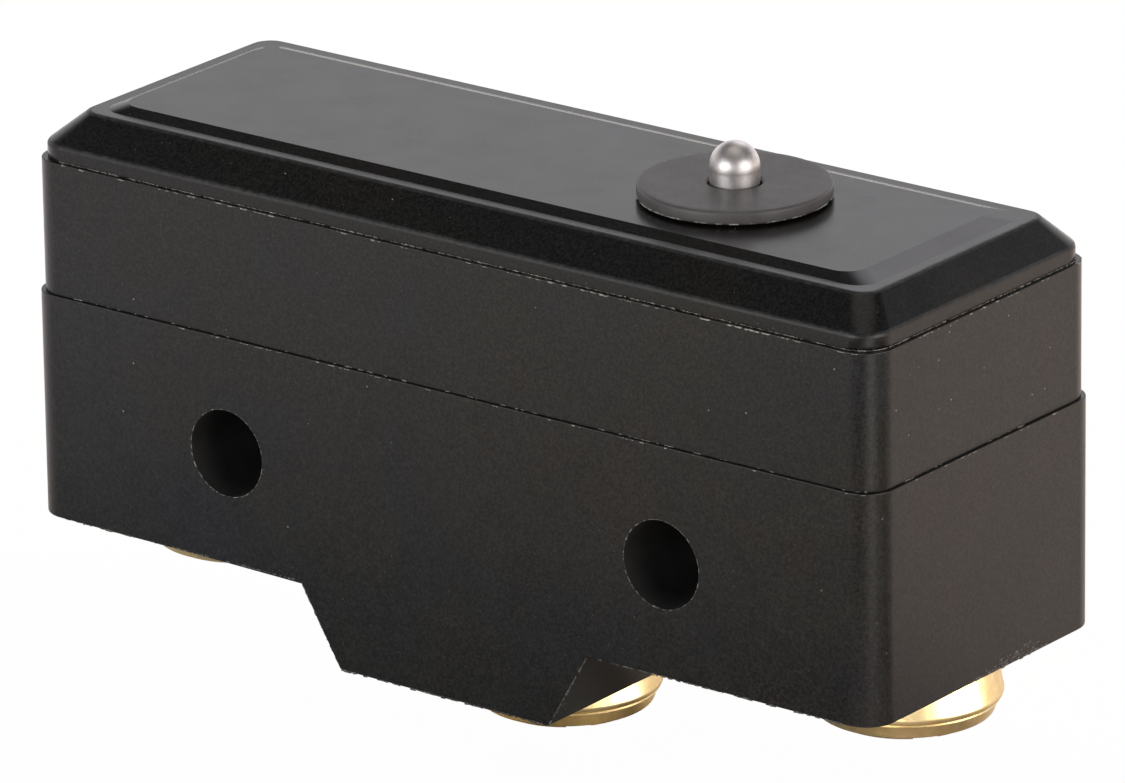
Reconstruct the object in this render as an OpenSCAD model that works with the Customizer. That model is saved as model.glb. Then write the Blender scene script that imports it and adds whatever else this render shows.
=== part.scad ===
// Snap-action limit switch with a pin plunger and three screw terminals.
// The origin is midway between the two mounting holes, on their axes and at half the depth.
// +X points to the plunger's end, -Y to the front face and +Z up, along the plunger.

/* [Housing] */
// Length of the base along X
case_length = 49.2; // [49:0.1:51]
// Depth of the base along Y
case_depth = 17.45; // [17.4:0.05:18.5]
// Radius of the housing's upright corners
corner_radius = 1.5; // [0.8:0.1:2]
// Underside of the base at its two ends
base_bottom = -5.45; // [-6:0.05:-5]
// Seam between the base and the middle case
base_top = 5.7; // [5.5:0.05:6]
// Seam between the middle case and the cover
case_top = 12.25; // [12.1:0.05:12.5]
// How far the middle case stands back from the base on each side
case_step = 0.15; // [0.05:0.05:0.3]
// How far the cover stands back from the base on each side
cover_step = 0.35; // [0.2:0.05:0.6]

/* [Keel] */
// Underside of the keel that carries the middle terminal
keel_bottom = -9.35; // [-10:0.05:-8.5]
// Width of the keel where it leaves the base
keel_top_width = 16.8; // [15:0.1:18]
// Width of the keel's flat underside
keel_bottom_width = 12.2; // [11:0.1:14]

/* [Mounting holes] */
// Distance between the two mounting holes
hole_pitch = 25.4; // [25:0.1:26]
// Diameter of the mounting holes
hole_diameter = 4.24; // [4:0.02:4.6]

/* [Cover] */
// Top of the cover's upright skirt, where the chamfer starts
skirt_top = 13; // [12.9:0.05:13.1]
// Top of the plain margin around the raised panel
margin_top = 14.45; // [14.4:0.05:14.6]
// Width of the slope around the cover
slope_width = 1.45; // [1.2:0.05:1.6]
// Radius of the corners at the top of the slope
margin_corner_radius = 1; // [0.6:0.1:1.4]
// How far the cover's top stands towards the plunger's end
top_shift = 0.2; // [0:0.05:0.3]
// Width of the plain margin around the raised panel
margin_width = 0.65; // [0.5:0.05:0.9]
// Height of the raised panel above the margin
panel_height = 0.3; // [0.1:0.05:0.3]
// Width of the panel's slope at the front
panel_front_slope = 0.55; // [0.3:0.05:0.6]
// Width of the panel's slope at the back
panel_back_slope = 1; // [0.6:0.05:1.1]
// Width of the panel's slope at the end away from the plunger
panel_far_slope = 0.75; // [0.6:0.05:1.1]
// Width of the panel's slope at the plunger's end
panel_near_slope = 1.05; // [0.6:0.05:1.1]
// Radius of the raised panel's corners
panel_corner_radius = 1.1; // [0.5:0.1:1.2]
// Underside of the cover's roof
roof_underside = 13.2; // [13:0.05:13.3]

/* [Cavity] */
// Length of the hollow that holds the mechanism
cavity_length = 45.8; // [45.6:0.1:46]
// Depth of the hollow that holds the mechanism
cavity_depth = 14; // [13.6:0.1:14.2]
// Floor of the hollow, above the mounting holes
cavity_floor = 3.6; // [3.4:0.05:3.8]
// Length of the locating lips between the housing's three parts
lip_length = 38; // [20:1:38]
// Depth by which the locating lips reach into the part below
lip_height = 0.8; // [0.5:0.1:1]
// Thickness of the locating lips
lip_thickness = 0.6; // [0.4:0.1:0.8]

/* [Plunger] */
// Distance of the plunger's axis from the origin along X
plunger_x = 10.5; // [10.3:0.1:10.8]
// Diameter of the pin plunger
pin_diameter = 2.33; // [2.2:0.01:2.4]
// Top of the pin plunger at rest
pin_top = 17.4; // [16.8:0.05:18]
// Diameter of the guide's round flange on top of the cover
disc_diameter = 9; // [8:0.1:9.5]
// Thickness of the guide's round flange
disc_thickness = 0.65; // [0.4:0.05:0.8]
// Diameter of the guide's sleeve in the cover
sleeve_diameter = 4.4; // [4:0.1:5]
// Diameter of the follower's retaining flange
follower_flange_diameter = 5.8; // [5.4:0.1:6]
// Diameter of the follower's body
follower_body_diameter = 4; // [3.6:0.1:4.2]
// Diameter of the follower's nose, which presses the blade
follower_nose_diameter = 2.4; // [2:0.1:2.6]

/* [Terminals] */
// Distance between neighbouring terminals
terminal_pitch = 19.55; // [19.4:0.05:19.6]
// Distance of the middle terminal from the origin along X
middle_terminal_x = 0.4; // [0.2:0.05:0.45]
// Diameter of the brass terminal inserts
insert_diameter = 6.4; // [6:0.1:6.6]
// Diameter of the terminal screws' thread
screw_diameter = 4; // [3.5:0.1:4]
// Length of the terminal screws under the head
screw_length = 7.2; // [6.5:0.1:7.4]
// Diameter of the terminal screws' head
head_diameter = 7.36; // [7:0.02:7.4]
// Height of the terminal screws' head
head_height = 1.1; // [0.9:0.05:1.4]
// Width of the screwdriver slot
slot_width = 1.2; // [0.8:0.1:1.4]
// Depth of the screwdriver slot
slot_depth = 0.65; // [0.4:0.05:0.8]
// Outer diameter of the cup washers
washer_diameter = 9.1; // [8.9:0.05:9.15]
// Height of the cup washers
washer_height = 2.5; // [2.2:0.1:2.6]
// Depth of the cup washers' floor below their mouth, which leaves room for the wire
washer_floor = 1.25; // [1.1:0.05:1.3]
// Thickness of the cup washers' sheet
washer_thickness = 0.5; // [0.4:0.05:0.6]

/* [Snap mechanism] */
// Underside of the snap blade at rest
blade_z = 7.7; // [7.6:0.05:7.8]
// Thickness of the snap blade
blade_thickness = 0.3; // [0.2:0.05:0.35]
// Distance of the contacts from the origin along X, towards the closed terminal
contact_x = -14; // [-14.2:0.1:-13.8]
// Diameter of the contacts
contact_diameter = 3.4; // [3:0.1:3.6]
// Height of the moving contact on each side of the blade
contact_height = 0.8; // [0.6:0.05:0.9]
// Space between the moving contact and the open contact at rest
contact_gap = 1.1; // [1.05:0.05:1.2]
// Thickness of the terminal straps
strap_thickness = 0.8; // [0.6:0.05:0.8]
// Distance of the blade's pin from the origin along X
anchor_x = 18.9; // [18.8:0.1:19]
// Diameter of the blade's pin
anchor_pin_diameter = 1.2; // [1:0.05:1.2]
// Thickness of the anchor's and the pivot's stamped sheet
bracket_thickness = 0.6; // [0.5:0.05:0.6]

/* [Case screws] */
// Distance of the case screws from the origin along X
case_screw_x = 21.6; // [21.5:0.05:21.7]
// Distance of the case screws from the origin along Y
case_screw_y = 5.7; // [5.65:0.05:5.8]
// Diameter of the case screws
case_screw_diameter = 2; // [1.8:0.1:2]
// Diameter of the case screws' countersunk head
case_screw_head = 3.6; // [3.2:0.1:3.6]

/* [Fits] */
// Radial clearance of the pin plunger in its guide
guide_clearance = 0.085; // [0.03:0.005:0.09]
// Radial clearance of the terminal screws in their inserts
thread_clearance = 0.05; // [0.03:0.005:0.08]
// Radial clearance of the blade's eye on its pin
eye_clearance = 0.05; // [0.02:0.005:0.08]
// Clearance between pieces that are assembled without moving
seat_clearance = 0.02; // [0.01:0.005:0.04]

/* [Hidden] */
$fn = 64;

// Room by which a cut runs past the face that it opens
over = 1;
// Thickness of the thin plates that a hull joins
layer = 0.01;

// Levels inside the housing
strap_top = cavity_floor + strap_thickness;
bracket_top = strap_top + bracket_thickness;
blade_top = blade_z + blade_thickness;
blade_middle = blade_z + blade_thickness / 2;
panel_top = margin_top + panel_height;
moving_contact_bottom = blade_z - contact_height;
moving_contact_top = blade_top + contact_height;
no_contact_top = moving_contact_bottom - contact_gap;
nc_arm_bottom = 9.6;
contact_clearance = 0.03;

// Plunger stack
follower_clearance = 0.05;
blade_clearance = 0.4;
disc_lift = 0.1;
disc_bottom = panel_top + disc_lift;
disc_top = disc_bottom + disc_thickness;
guide_bottom = case_top + follower_clearance;
guide_boss_diameter = 6.8;
gasket_outer = 7.8;
gasket_inner = 4.7;
follower_top = guide_bottom - follower_clearance;
follower_flange_height = 0.85;
nose_height = 0.9;
nose_bottom = blade_top + blade_clearance;
pin_seat = 10.6;

// Terminals
com_x = middle_terminal_x + terminal_pitch;
no_x = middle_terminal_x;
nc_x = middle_terminal_x - terminal_pitch;
spigot_diameter = 2.6;
peen_diameter = 3.4;
peen_height = 0.6;
groove_depth = 0.4;
groove_half_height = 0.6;
bore_run_out = 0.6;
screw_seat = washer_floor + washer_thickness + 2 * seat_clearance;
com_slot_angle = -38.5;
no_slot_angle = -43.4;
nc_slot_angle = 15;

// Snap mechanism
blade_half_width = 4;
centre_leaf_half_width = 1.3;
outer_leaf_inner = 1.8;
blade_tip_x = -16.2;
blade_tip_half_width = 2.5;
leaf_root_x = -9;
outer_leaf_end_x = 6.2;
eye_half_width = 2.6;
eye_wall = 0.35;
anchor_half_width = 3.6;
anchor_ear_thickness = 0.7;
pin_protrusion = 0.3;
plate_half_width = 3.6;
rivet_x = 8.2;
shank_diameter = 1.6;
strap_end_gap = 0.3;
leaf_overlap = 0.5;
tip_taper_start = contact_x + 2.5;

// Case screws stand at two opposite corners
case_screw_places = [[-case_screw_x, case_screw_y], [case_screw_x, -case_screw_y]];
boss_diameter = 3.6;
case_screw_tip = 13.7;
case_screw_end_gap = 0.2;
case_screw_slot_width = 0.5;
case_screw_slot_depth = 0.5;
countersink_height = (case_screw_head - case_screw_diameter) / 2;

// ---- Shared shapes ----

// Upright plate with rounded corners, between two heights
module rounded_plate(length, depth, radius, low, high) {
    translate([0, 0, low])
        linear_extrude(high - low) {
            square([length - 2 * radius, depth], center = true);
            square([length, depth - 2 * radius], center = true);
            for (x = [-1, 1], y = [-1, 1])
                translate([x * (length / 2 - radius), y * (depth / 2 - radius)])
                    circle(radius);
        }
}

// Outline in X and Z, carried along Y between two depths
module across(low, high) {
    translate([0, high, 0])
        rotate([90, 0, 0])
            linear_extrude(high - low)
                children();
}

// Upright cylinder between two heights
module post(x, y, diameter, low, high) {
    translate([x, y, low])
        cylinder(h = high - low, d = diameter);
}

// The case screws' bosses, between two heights
module screw_bosses(diameter, low, high) {
    for (place = case_screw_places)
        post(place[0], place[1], diameter, low, high);
}

// The mechanism's hollow, less the bosses that stand in its corners
module cavity(low, high) {
    difference() {
        rounded_plate(cavity_length, cavity_depth, 1, low, high);
        screw_bosses(boss_diameter, low - over, high + over);
    }
}

// Lips inside a part's long walls at the height of a seam, which reach down into the part below
module locating_lips(seam) {
    root = 0.2;
    outer = cavity_depth / 2 - seat_clearance;
    for (side = [-1, 1]) {
        translate([0, side * (outer - lip_thickness / 2), seam])
            cube([lip_length, lip_thickness, 2 * lip_height], center = true);
        translate([0, side * (outer - lip_thickness / 2 + root / 2), seam + lip_height / 2])
            cube([lip_length, lip_thickness + root, lip_height], center = true);
    }
}

// ---- Housing ----

module base() {
    color("#1b1b1d")
        difference() {
            intersection() {
                rounded_plate(case_length, case_depth, corner_radius, keel_bottom, base_top);
                across(-case_depth, case_depth)
                    polygon([
                        [-case_length / 2, base_top],
                        [-case_length / 2, base_bottom],
                        [-keel_top_width / 2, base_bottom],
                        [-keel_bottom_width / 2, keel_bottom],
                        [keel_bottom_width / 2, keel_bottom],
                        [keel_top_width / 2, base_bottom],
                        [case_length / 2, base_bottom],
                        [case_length / 2, base_top]
                    ]);
            }
            for (x = [-1, 1])
                translate([x * hole_pitch / 2, 0, 0])
                    rotate([90, 0, 0])
                        cylinder(h = case_depth + 2 * over, d = hole_diameter, center = true);
            cavity(cavity_floor, base_top + over);
            for (x = [nc_x, no_x, com_x])
                post(x, 0, insert_diameter + 2 * seat_clearance, keel_bottom - over, base_top);
            screw_bosses(
                case_screw_diameter + 2 * seat_clearance, base_bottom - over, base_top + over
            );
            for (place = case_screw_places)
                translate([place[0], place[1], base_bottom])
                    cylinder(
                        h = countersink_height,
                        d1 = case_screw_head + 2 * seat_clearance,
                        d2 = case_screw_diameter + 2 * seat_clearance
                    );
        }
}

module middle_case() {
    color("#1f1f21")
        difference() {
            union() {
                difference() {
                    rounded_plate(
                        case_length - 2 * case_step, case_depth - 2 * case_step, corner_radius,
                        base_top, case_top
                    );
                    cavity(base_top - over, case_top + over);
                }
                locating_lips(base_top);
            }
            screw_bosses(case_screw_diameter + 2 * seat_clearance, base_top - over, case_top + over);
        }
}

// Cover's outer shape: a skirt, a sloping edge around it and the raised panel
module cover_shell() {
    length = case_length - 2 * cover_step;
    depth = case_depth - 2 * cover_step;
    margin_length = length - 2 * slope_width;
    margin_depth = depth - 2 * slope_width;
    hull() {
        rounded_plate(length, depth, corner_radius, case_top, skirt_top, $fn = 32);
        translate([top_shift, 0, 0])
            rounded_plate(
                margin_length, margin_depth, margin_corner_radius,
                margin_top - layer, margin_top, $fn = 32
            );
    }
    translate([top_shift, 0, 0])
        raised_panel(margin_length - 2 * margin_width, margin_depth - 2 * margin_width);
}

// Panel with a steep slope at the front and gentler ones at the back and at both ends
module raised_panel(length, depth) {
    root = 0.2;
    hull() {
        rounded_plate(
            length, depth, panel_corner_radius, margin_top - root, margin_top, $fn = 32
        );
        translate([
            (panel_far_slope - panel_near_slope) / 2, (panel_front_slope - panel_back_slope) / 2, 0
        ])
            rounded_plate(
                length - panel_far_slope - panel_near_slope,
                depth - panel_front_slope - panel_back_slope,
                panel_corner_radius, panel_top - layer, panel_top, $fn = 32
            );
    }
}

module cover() {
    color("#242426")
        difference() {
            union() {
                difference() {
                    cover_shell();
                    cavity(case_top - over, roof_underside);
                }
                post(plunger_x, 0, guide_boss_diameter, guide_bottom, margin_top);
                locating_lips(case_top);
            }
            post(
                plunger_x, 0, sleeve_diameter + 2 * seat_clearance,
                case_top - over, panel_top + over
            );
            screw_bosses(
                case_screw_diameter + 2 * seat_clearance, case_top - over,
                case_screw_tip + case_screw_end_gap
            );
        }
}

module case_screws() {
    color("#8d8f92")
        for (place = case_screw_places)
            difference() {
                union() {
                    post(place[0], place[1], case_screw_diameter, base_bottom, case_screw_tip);
                    translate([place[0], place[1], base_bottom])
                        cylinder(
                            h = countersink_height, d1 = case_screw_head, d2 = case_screw_diameter
                        );
                }
                translate([place[0], place[1], base_bottom])
                    cube(
                        [case_screw_head + over, case_screw_slot_width, 2 * case_screw_slot_depth],
                        center = true
                    );
            }
}

// ---- Plunger ----

module plunger_guide() {
    color("#161617")
        difference() {
            union() {
                post(plunger_x, 0, disc_diameter, disc_bottom, disc_top);
                post(plunger_x, 0, sleeve_diameter, guide_bottom, disc_top);
            }
            post(
                plunger_x, 0, pin_diameter + 2 * guide_clearance,
                guide_bottom - over, disc_top + over
            );
        }
}

module guide_gasket() {
    color("#0c0c0c")
        difference() {
            post(
                plunger_x, 0, gasket_outer,
                panel_top + seat_clearance / 2, disc_bottom - seat_clearance / 2
            );
            post(plunger_x, 0, gasket_inner, panel_top - over, disc_bottom + over);
        }
}

module pin_plunger() {
    dome_centre = pin_top - pin_diameter / 2;
    color("#c9c9c6")
        union() {
            post(plunger_x, 0, pin_diameter, pin_seat, dome_centre);
            translate([plunger_x, 0, dome_centre])
                sphere(d = pin_diameter);
        }
}

module plunger_follower() {
    body_top = follower_top - follower_flange_height;
    color("#6b3a1e")
        difference() {
            union() {
                post(plunger_x, 0, follower_flange_diameter, body_top, follower_top);
                post(
                    plunger_x, 0, follower_body_diameter,
                    nose_bottom + nose_height, follower_top
                );
                translate([plunger_x, 0, nose_bottom])
                    cylinder(
                        h = nose_height, d1 = follower_nose_diameter, d2 = follower_body_diameter
                    );
            }
            post(
                plunger_x, 0, pin_diameter + seat_clearance,
                pin_seat - seat_clearance, follower_top + over
            );
        }
}

// ---- Terminals ----

// Threaded insert, with a spigot that is peened over the straps it carries
module terminal_insert(x, bottom, peen_bottom) {
    groove_centre = (bottom + cavity_floor) / 2;
    bore_top = bottom - screw_seat + screw_length + bore_run_out;
    color("#b8913f")
        difference() {
            union() {
                post(x, 0, insert_diameter, bottom, cavity_floor);
                post(x, 0, spigot_diameter, cavity_floor, peen_bottom + peen_height);
                post(x, 0, peen_diameter, peen_bottom + seat_clearance, peen_bottom + peen_height);
            }
            difference() {
                post(
                    x, 0, insert_diameter + over,
                    groove_centre - groove_half_height, groove_centre + groove_half_height
                );
                post(
                    x, 0, insert_diameter - 2 * groove_depth,
                    groove_centre - over, groove_centre + over
                );
            }
            post(x, 0, screw_diameter + 2 * thread_clearance, bottom - over, bore_top);
        }
}

module com_insert() {
    terminal_insert(com_x, base_bottom, bracket_top);
}

module no_insert() {
    terminal_insert(no_x, keel_bottom, strap_top);
}

module nc_insert() {
    terminal_insert(nc_x, base_bottom, strap_top);
}

// Slotted binding-head screw that hangs under a cup washer
module terminal_screw(x, bottom, slot_angle) {
    head_top = bottom - screw_seat;
    edge = 0.35;
    color("#c9a24a")
        translate([x, 0, head_top])
            difference() {
                union() {
                    cylinder(h = screw_length, d = screw_diameter);
                    rotate_extrude()
                        polygon([
                            [0, 0],
                            [head_diameter / 2, 0],
                            [head_diameter / 2, edge - head_height],
                            [head_diameter / 2 - edge, -head_height],
                            [0, -head_height]
                        ]);
                }
                translate([0, 0, -head_height])
                    rotate([0, 0, slot_angle])
                        cube([head_diameter + over, slot_width, 2 * slot_depth], center = true);
            }
}

module com_screw() {
    terminal_screw(com_x, base_bottom, com_slot_angle);
}

module no_screw() {
    terminal_screw(no_x, keel_bottom, no_slot_angle);
}

module nc_screw() {
    terminal_screw(nc_x, base_bottom, nc_slot_angle);
}

// Cup washer: its mouth faces the insert and traps the wire, and its rim reaches down round the
// screw's head
module cup_washer(x, bottom) {
    outer = washer_diameter / 2;
    mouth_inset = 0.35;
    rim_inset = 0.4;
    belly_top = 0.95;
    head_clearance = 0.07;
    hole = screw_diameter / 2 + 0.15;
    rim_bore = head_diameter / 2 + head_clearance;
    floor_bottom = washer_floor + washer_thickness;
    color("#d2ac55")
        translate([x, 0, bottom - seat_clearance])
            rotate_extrude()
                polygon([
                    [hole, -floor_bottom],
                    [rim_bore, -floor_bottom],
                    [rim_bore, -washer_height],
                    [outer - rim_inset, -washer_height],
                    [outer, -floor_bottom],
                    [outer, -belly_top],
                    [outer - mouth_inset, 0],
                    [outer - mouth_inset - washer_thickness, 0],
                    [outer - washer_thickness, -belly_top],
                    [outer - washer_thickness, -washer_floor],
                    [hole, -washer_floor]
                ]);
}

module com_cup_washer() {
    cup_washer(com_x, base_bottom);
}

module no_cup_washer() {
    cup_washer(no_x, keel_bottom);
}

module nc_cup_washer() {
    cup_washer(nc_x, base_bottom);
}

// ---- Common side of the mechanism ----

module com_plate() {
    left = 5;
    right = cavity_length / 2 - strap_end_gap;
    color("#b98f45")
        difference() {
            translate([left, -plate_half_width, cavity_floor])
                cube([right - left, 2 * plate_half_width, strap_thickness - seat_clearance]);
            post(com_x, 0, spigot_diameter + 2 * seat_clearance, 0, blade_z);
            post(rivet_x, 0, shank_diameter + 2 * seat_clearance, 0, blade_z);
        }
}

// Stamped stirrup that the insert's peened spigot holds down; its ears carry the blade's pin
module blade_anchor() {
    left = 17.4;
    ear_length = 3;
    ear_top = 9;
    right = cavity_length / 2 - strap_end_gap;
    color("#b98f45")
        difference() {
            union() {
                translate([left, -anchor_half_width, strap_top])
                    cube([right - left, 2 * anchor_half_width, bracket_thickness]);
                for (side = [-1, 1])
                    translate([
                        left,
                        side * (anchor_half_width - anchor_ear_thickness / 2)
                            - anchor_ear_thickness / 2,
                        strap_top
                    ])
                        cube([ear_length, anchor_ear_thickness, ear_top - strap_top]);
            }
            post(com_x, 0, spigot_diameter + 2 * seat_clearance, 0, blade_z);
            anchor_hole(anchor_pin_diameter + seat_clearance);
        }
}

// Round hole along Y on the blade's hinge axis
module anchor_hole(diameter) {
    translate([anchor_x, 0, blade_middle])
        rotate([90, 0, 0])
            cylinder(h = 3 * anchor_half_width, d = diameter, center = true);
}

module anchor_pin() {
    color("#c4c4c1")
        translate([anchor_x, 0, blade_middle])
            rotate([90, 0, 0])
                cylinder(
                    h = 2 * anchor_half_width + pin_protrusion, d = anchor_pin_diameter,
                    center = true
                );
}

// Stamped stirrup with two open notches, in which the blade's outer leaves bear
module pivot_bracket() {
    left = 5.6;
    length = 2.4;
    foot_right = 10;
    half_width = 3.4;
    ear_thickness = 1.2;
    ear_top = 9.4;
    notch_centre = blade_z - 0.05;
    notch_half_height = 1.05;
    notch_depth = 1.6;
    color("#b98f45")
        difference() {
            union() {
                translate([left, -half_width, strap_top])
                    cube([foot_right - left, 2 * half_width, bracket_thickness]);
                for (side = [-1, 1])
                    translate([
                        left,
                        side * (half_width - ear_thickness / 2) - ear_thickness / 2,
                        strap_top
                    ])
                        cube([length, ear_thickness, ear_top - strap_top]);
            }
            across(-half_width - over, half_width + over)
                polygon([
                    [left, notch_centre - notch_half_height],
                    [left + notch_depth, notch_centre],
                    [left, notch_centre + notch_half_height],
                    [left - over, notch_centre + notch_half_height],
                    [left - over, notch_centre - notch_half_height]
                ]);
            post(rivet_x, 0, shank_diameter + 2 * seat_clearance, 0, blade_z);
        }
}

module pivot_rivet() {
    head_width = 2.6;
    head_rise = 0.4;
    color("#a8a8a4")
        union() {
            post(rivet_x, 0, shank_diameter, cavity_floor, bracket_top + head_rise);
            post(
                rivet_x, 0, head_width, bracket_top + seat_clearance, bracket_top + head_rise
            );
        }
}

// Three-leaf spring blade: the centre leaf runs back to the pin, the outer leaves to the notches
module snap_blade() {
    eye_diameter = anchor_pin_diameter + 2 * eye_clearance + 2 * eye_wall;
    color("#b87333")
        difference() {
            union() {
                translate([0, 0, blade_z])
                    linear_extrude(blade_thickness) {
                        polygon([
                            [blade_tip_x, -blade_tip_half_width],
                            [tip_taper_start, -blade_half_width],
                            [leaf_root_x, -blade_half_width],
                            [leaf_root_x, blade_half_width],
                            [tip_taper_start, blade_half_width],
                            [blade_tip_x, blade_tip_half_width]
                        ]);
                        for (side = [-1, 1])
                            translate([
                                leaf_root_x - leaf_overlap,
                                side * (blade_half_width + outer_leaf_inner) / 2
                                    - (blade_half_width - outer_leaf_inner) / 2
                            ])
                                square([
                                    outer_leaf_end_x - leaf_root_x + leaf_overlap,
                                    blade_half_width - outer_leaf_inner
                                ]);
                        translate([leaf_root_x - leaf_overlap, -centre_leaf_half_width])
                            square([
                                anchor_x - leaf_root_x,
                                2 * centre_leaf_half_width
                            ]);
                    }
                translate([anchor_x, 0, blade_middle])
                    rotate([90, 0, 0])
                        cylinder(h = 2 * eye_half_width, d = eye_diameter, center = true);
            }
            anchor_hole(anchor_pin_diameter + 2 * eye_clearance);
            post(contact_x, 0, shank_diameter + seat_clearance, 0, case_top);
        }
}

module moving_contact() {
    color("#d9d9d4")
        union() {
            post(contact_x, 0, contact_diameter, moving_contact_bottom, blade_z - seat_clearance / 2);
            post(contact_x, 0, shank_diameter, moving_contact_bottom, moving_contact_top);
            post(contact_x, 0, contact_diameter, blade_top + seat_clearance / 2, moving_contact_top);
        }
}

// ---- Open and closed sides of the mechanism ----

module no_strap() {
    left = -16.2;
    right = 3;
    half_width = 2.6;
    color("#b98f45")
        difference() {
            translate([left, -half_width, cavity_floor])
                cube([right - left, 2 * half_width, strap_thickness]);
            post(no_x, 0, spigot_diameter + 2 * seat_clearance, 0, blade_z);
            post(contact_x, 0, shank_diameter + 2 * seat_clearance, 0, blade_z);
        }
}

module no_contact() {
    color("#d9d9d4")
        union() {
            post(contact_x, 0, shank_diameter, cavity_floor, no_contact_top);
            post(contact_x, 0, contact_diameter, strap_top + seat_clearance, no_contact_top);
        }
}

// Strap that rises from the insert and reaches back over the blade's tip
module nc_strap() {
    left = strap_end_gap - cavity_length / 2;
    foot_right = -17.2;
    arm_right = -12;
    half_width = 2.9;
    arm_top = nc_arm_bottom + strap_thickness;
    color("#b98f45")
        difference() {
            across(-half_width, half_width)
                polygon([
                    [left, cavity_floor],
                    [foot_right, cavity_floor],
                    [foot_right, strap_top],
                    [left + strap_thickness, strap_top],
                    [left + strap_thickness, nc_arm_bottom],
                    [arm_right, nc_arm_bottom],
                    [arm_right, arm_top],
                    [left, arm_top]
                ]);
            post(nc_x, 0, spigot_diameter + 2 * seat_clearance, 0, blade_z);
            post(contact_x, 0, shank_diameter + 2 * seat_clearance, blade_z, case_top);
        }
}

module nc_contact() {
    face = moving_contact_top + contact_clearance;
    color("#d9d9d4")
        union() {
            post(contact_x, 0, contact_diameter, face, nc_arm_bottom - seat_clearance);
            post(contact_x, 0, shank_diameter, face, nc_arm_bottom + strap_thickness);
        }
}

base();
middle_case();
cover();
case_screws();
plunger_guide();
guide_gasket();
pin_plunger();
plunger_follower();
com_insert();
no_insert();
nc_insert();
com_screw();
no_screw();
nc_screw();
com_cup_washer();
no_cup_washer();
nc_cup_washer();
com_plate();
blade_anchor();
anchor_pin();
pivot_bracket();
pivot_rivet();
snap_blade();
moving_contact();
no_strap();
no_contact();
nc_strap();
nc_contact();
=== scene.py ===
import math
import random

import bmesh
import bpy
from mathutils import Matrix, Vector


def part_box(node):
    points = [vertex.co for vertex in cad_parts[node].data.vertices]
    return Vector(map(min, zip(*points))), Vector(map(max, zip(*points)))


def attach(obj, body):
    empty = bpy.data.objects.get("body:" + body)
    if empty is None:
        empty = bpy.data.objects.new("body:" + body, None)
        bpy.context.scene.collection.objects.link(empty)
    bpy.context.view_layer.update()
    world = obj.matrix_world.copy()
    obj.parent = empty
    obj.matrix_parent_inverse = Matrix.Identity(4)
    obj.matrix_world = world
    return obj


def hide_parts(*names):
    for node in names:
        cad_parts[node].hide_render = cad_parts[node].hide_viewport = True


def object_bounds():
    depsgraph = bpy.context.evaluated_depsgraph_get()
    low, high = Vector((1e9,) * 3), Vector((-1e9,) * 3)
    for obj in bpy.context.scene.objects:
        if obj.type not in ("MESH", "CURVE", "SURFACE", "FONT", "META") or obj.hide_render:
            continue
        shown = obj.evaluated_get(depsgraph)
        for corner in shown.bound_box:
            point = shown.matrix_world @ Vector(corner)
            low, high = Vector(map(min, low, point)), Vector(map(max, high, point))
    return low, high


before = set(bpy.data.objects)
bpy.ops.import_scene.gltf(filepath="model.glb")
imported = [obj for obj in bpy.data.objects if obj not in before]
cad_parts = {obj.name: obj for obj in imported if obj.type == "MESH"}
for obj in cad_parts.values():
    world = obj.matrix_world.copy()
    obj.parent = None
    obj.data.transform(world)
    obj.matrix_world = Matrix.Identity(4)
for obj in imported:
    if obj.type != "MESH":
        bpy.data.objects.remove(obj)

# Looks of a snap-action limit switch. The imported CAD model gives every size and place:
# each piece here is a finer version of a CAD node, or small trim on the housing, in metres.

CAD_BOX = [list(corner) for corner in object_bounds()]
MM = 0.001
SEED = 7

# Terminals: name of each and the direction of its screwdriver slot, in degrees
SLOT_ANGLES = {"com": -38.5, "no": -43.4, "nc": 15.0}

# Camera
CAMERA_AZIMUTH = 37.92
CAMERA_ELEVATION = 19.6
CAMERA_ROLL = -0.82
CAMERA_DISTANCE = 0.485
CAMERA_TARGET = Vector((0.0004, 0.0, 0.00324))
LENS = 334.5
SENSOR = 36.0

# Housing, in millimetres: radius of its upright corners, thickness of its outside wall, height of
# the cover's raised panel, half widths of the keel, and the two mounting holes
CORNER_RADIUS = 1.5
WALL = 1.3
PANEL_HEIGHT = 0.3
KEEL_TOP = 8.4
KEEL_BOTTOM = 6.1
HOLE_PITCH = 25.4
HOLE_RADIUS = 2.12

# Floor as reflections see it: painted shade and painted light at azimuths from the camera's own, in
# degrees.
# The tint is painted shade: duller in front, with two dark wedges in place of flags. The glow is painted
# light: a bright wedge beside the near corner in place of a card. The glow starts GLOW_START from the
# origin and is full at GLOW_FULL, in millimetres.
GLOW_START = 48
GLOW_FULL = 85
# Painted shade on the floor, seen only in reflections: darker wedges by azimuth
FLOOR_PAINTED_SHADES = (
    (-180, (1.0, 1.0, 1.0)),
    (-130, (0.95, 0.97, 1.0)),
    (-90, (0.62, 0.65, 0.72)),
    (-65, (0.62, 0.63, 0.62)),
    (-35, (0.58, 0.58, 0.58)),
    (-16, (0.2, 0.2, 0.2)),
    (22, (0.68, 0.68, 0.68)),
    (56, (0.22, 0.21, 0.2)),
    (76, (0.85, 0.82, 0.81)),
    (96, (1.0, 0.97, 0.96)),
    (180, (1.0, 1.0, 1.0)),
)
# Painted light on the floor, seen only in reflections: the floor glows in a bright wedge and behind
FLOOR_GLOWS = (
    (-180, (0.6, 0.6, 0.6)),
    (-110, (0.18, 0.18, 0.21)),
    (-60, (0.25, 0.25, 0.22)),
    (-30, (0.0, 0.0, 0.0)),
    (6, (0.0, 0.0, 0.0)),
    (22, (1.2, 1.17, 1.12)),
    (38, (0.0, 0.0, 0.0)),
    (110, (0.0, 0.0, 0.0)),
    (180, (0.6, 0.6, 0.6)),
)


# ---- Camera, stage and light ----

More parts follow.
